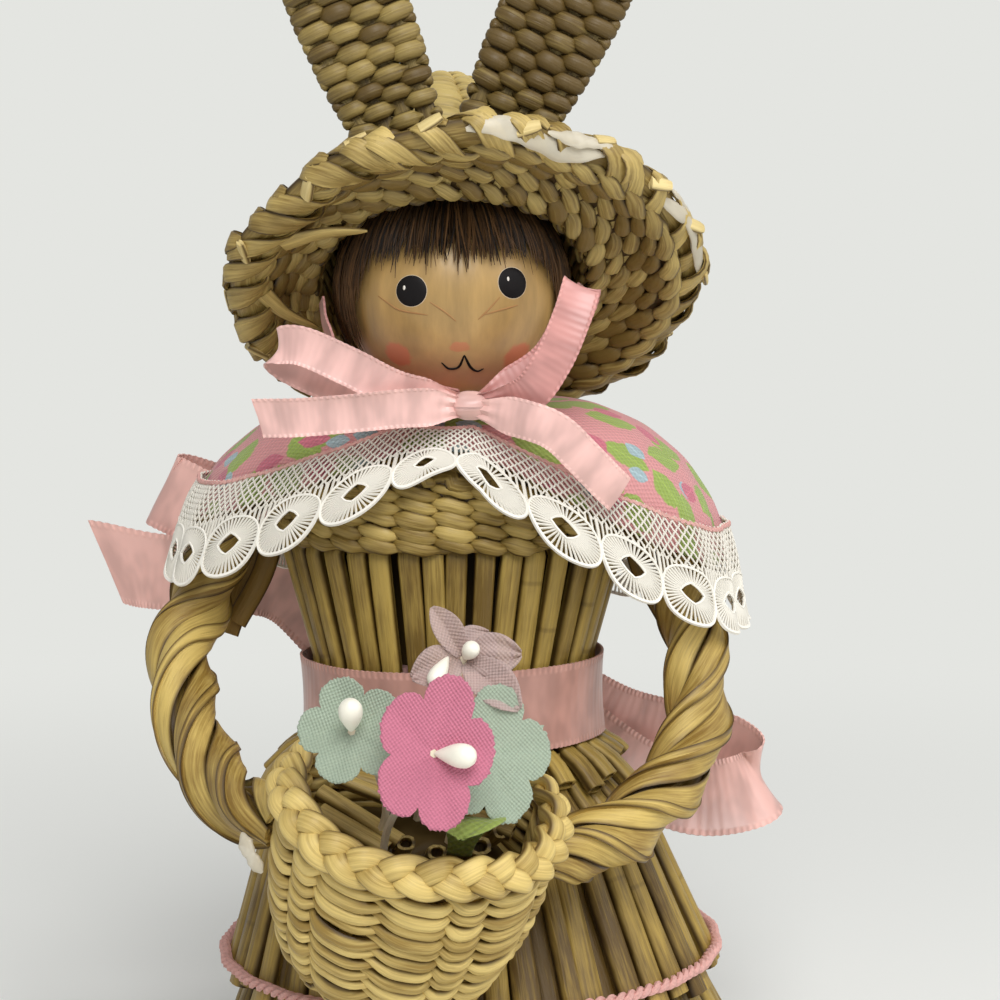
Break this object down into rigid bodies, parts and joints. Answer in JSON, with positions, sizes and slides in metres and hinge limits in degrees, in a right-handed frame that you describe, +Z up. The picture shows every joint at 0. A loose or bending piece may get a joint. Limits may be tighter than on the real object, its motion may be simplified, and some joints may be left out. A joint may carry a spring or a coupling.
{
  "type": "straw doll",
  "caption": "Standing straw doll with a wooden ball head, rabbit-eared woven bonnet, lace-edged cotton shawl and satin bows, holding a woven basket of cloth flowers.",
  "frame": {"origin": "on the floor, under the middle of the doll's box", "axes": "+Z up, the doll looks along -Y, +X to the viewer's right"},
  "size_m": [0.0856, 0.094, 0.1483],
  "materials": {
    "straw": "dry straw with a slight natural sheen",
    "straw_dark": "dry straw, olive brown",
    "wood": "turned wood with thin clear varnish",
    "hair_fibre": "brown combed fibre",
    "satin": "pale pink satin ribbon",
    "printed_cotton": "printed plain cotton, pink ground",
    "lace": "white cotton lace",
    "cord": "twisted pink thread",
    "pink_cloth": "stiffened pink cloth",
    "mint_cloth": "stiffened mint cloth",
    "lilac_cloth": "stiffened lilac cloth",
    "leaf_cloth": "stiffened green cloth",
    "stamen": "pearly cream drop",
    "wire": "wrapped wire"
  },
  "bodies": {
    "root": {"skirt_over_layer": "straw", "skirt_under_layer": "straw", "skirt_cord": "cord", "torso_core": "straw_dark", "waist_binding": "cord", "neck_peg": "wood", "bodice_straws": "straw", "yoke_weave": "straw", "head": "wood", "hair": "hair_fibre", "hat": "straw", "hat_rim": "straw", "ear_left": "straw_dark", "ear_right": "straw_dark", "chin_strap_left": "satin", "chin_strap_right": "satin", "neck_bow_knot": "satin", "neck_bow_loop_left": "satin", "neck_bow_loop_right": "satin", "neck_bow_tail_left": "satin", "neck_bow_tail_right": "satin", "shawl": "printed_cotton", "lace_trim": "lace", "arm_left": "straw", "arm_right": "straw", "sash": "satin", "sash_knot": "satin", "sash_bow_loop_left": "satin", "sash_bow_loop_right": "satin", "sash_bow_tail_left": "satin", "sash_bow_tail_right": "satin", "basket_bowl": "straw", "basket_rim": "straw", "basket_filling": "straw_dark", "leaf": "leaf_cloth", "flower_pink_petals": "pink_cloth", "flower_pink_stamen": "stamen", "flower_pink_stem": "wire", "flower_mint_left_petals": "mint_cloth", "flower_mint_left_stamen": "stamen", "flower_mint_left_stem": "wire", "flower_mint_right_petals": "mint_cloth", "flower_mint_right_stamen": "stamen", "flower_mint_right_stem": "wire", "flower_lilac_petals": "lilac_cloth", "flower_lilac_stamen": "stamen", "flower_lilac_stem": "wire"}
  },
  "joints": []
}
